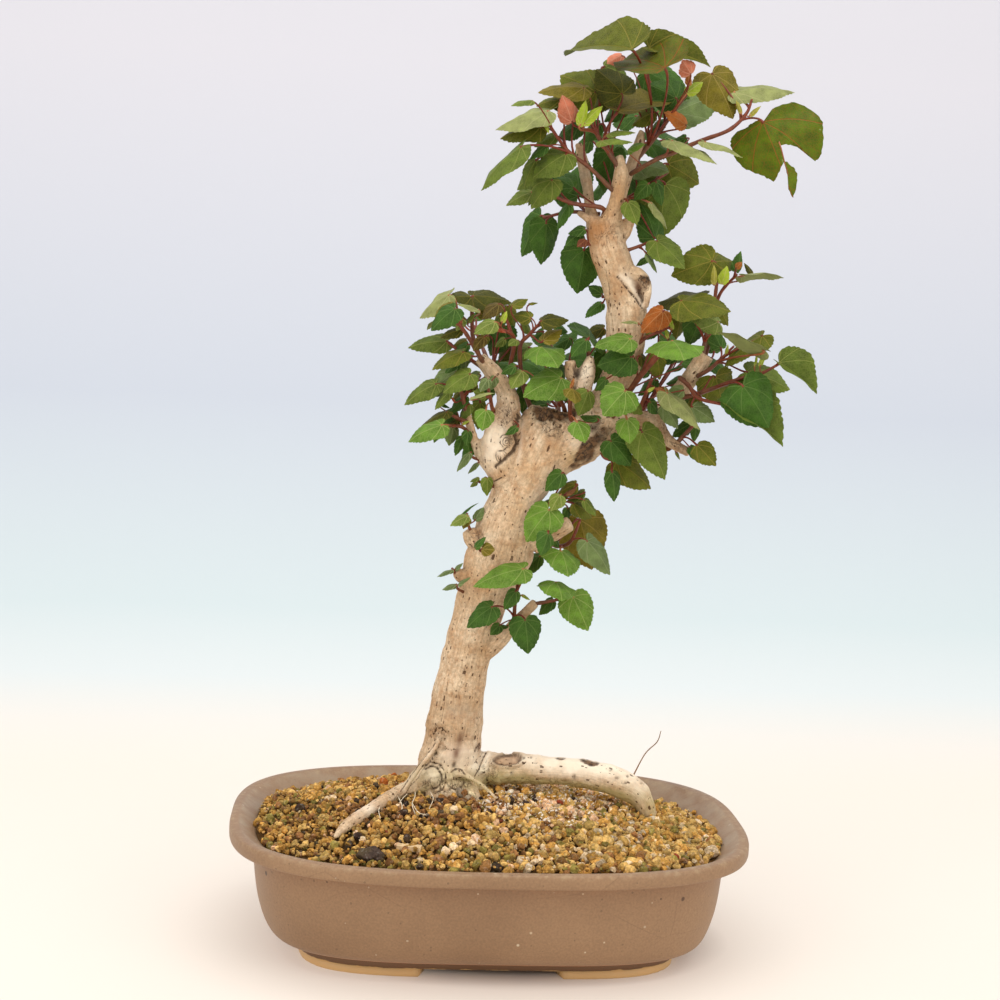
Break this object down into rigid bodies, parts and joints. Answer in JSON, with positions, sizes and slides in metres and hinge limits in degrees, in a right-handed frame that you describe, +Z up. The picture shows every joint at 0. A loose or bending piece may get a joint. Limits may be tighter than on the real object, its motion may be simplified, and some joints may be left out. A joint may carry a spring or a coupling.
{
  "type": "sea hibiscus bonsai",
  "caption": "Sea hibiscus bonsai with a leaning pale trunk, surface roots and heart-shaped leaves, in a rounded-oval brown clay pot with a heaped bed of clay grains",
  "frame": {"origin": "on the surface that the pot's feet stand on, under the middle of the whole plant and pot", "axes": "+Z up, +X to the right along the pot's length, +Y to the back along its depth"},
  "size_m": [0.2914, 0.2054, 0.4805],
  "materials": {
    "clay_body": "matt unglazed stoneware",
    "plastic_mesh": "matt",
    "aluminium_wire": "copper-brown anodised",
    "clay_grain": "rough fired clay",
    "lava_rock": "rough",
    "pale_wood": "raw",
    "bark": "smooth bark",
    "leaf": "soft leaf"
  },
  "bodies": {
    "root": {"pot": "clay_body", "drain_screen_1": "plastic_mesh", "drain_clip_1": "aluminium_wire", "drain_screen_2": "plastic_mesh", "drain_clip_2": "aluminium_wire", "soil": "clay_grain", "lava_lump": "lava_rock", "wood_chip": "pale_wood", "trunk": "bark", "shoot_crown_left": "leaf", "shoot_crown_top_left": "leaf", "shoot_crown_top": "leaf", "shoot_crown_right": "leaf", "shoot_crown_left_low": "leaf", "shoot_crown_left_back": "leaf", "shoot_crown_middle": "leaf", "shoot_crown_back": "leaf", "shoot_leader_left": "leaf", "shoot_leader_left_low": "leaf", "shoot_leader_right": "leaf", "shoot_leader_front": "leaf", "shoot_right_upper": "leaf", "shoot_right_top_twig": "leaf", "shoot_right_middle": "leaf", "shoot_right_far": "leaf", "shoot_right_low": "leaf", "shoot_right_twig_leaf": "leaf", "shoot_middle_stem": "leaf", "shoot_middle_red": "leaf", "shoot_middle_top": "leaf", "shoot_middle_front": "leaf", "shoot_hanging_low": "leaf", "shoot_hanging_right": "leaf", "shoot_snag_leaf": "leaf", "shoot_middle_left": "leaf", "shoot_top_front": "leaf", "shoot_top_middle": "leaf", "shoot_top_left": "leaf", "shoot_left_top": "leaf", "shoot_left_outer": "leaf", "shoot_left_far": "leaf", "shoot_left_middle": "leaf", "shoot_left_low": "leaf", "shoot_left_hanging": "leaf", "shoot_left_under": "leaf", "shoot_left_stub": "leaf", "shoot_left_front": "leaf", "shoot_middle_back": "leaf", "shoot_right_back": "leaf", "shoot_left_back": "leaf", "shoot_stub_upper": "leaf", "shoot_stub_right": "leaf", "shoot_lower_leafy": "leaf", "shoot_lower_tip": "leaf", "shoot_knee_left": "leaf", "shoot_knee_left_low": "leaf", "shoot_knee_left_foot": "leaf", "shoot_knee_front": "leaf"}
  },
  "joints": []
}
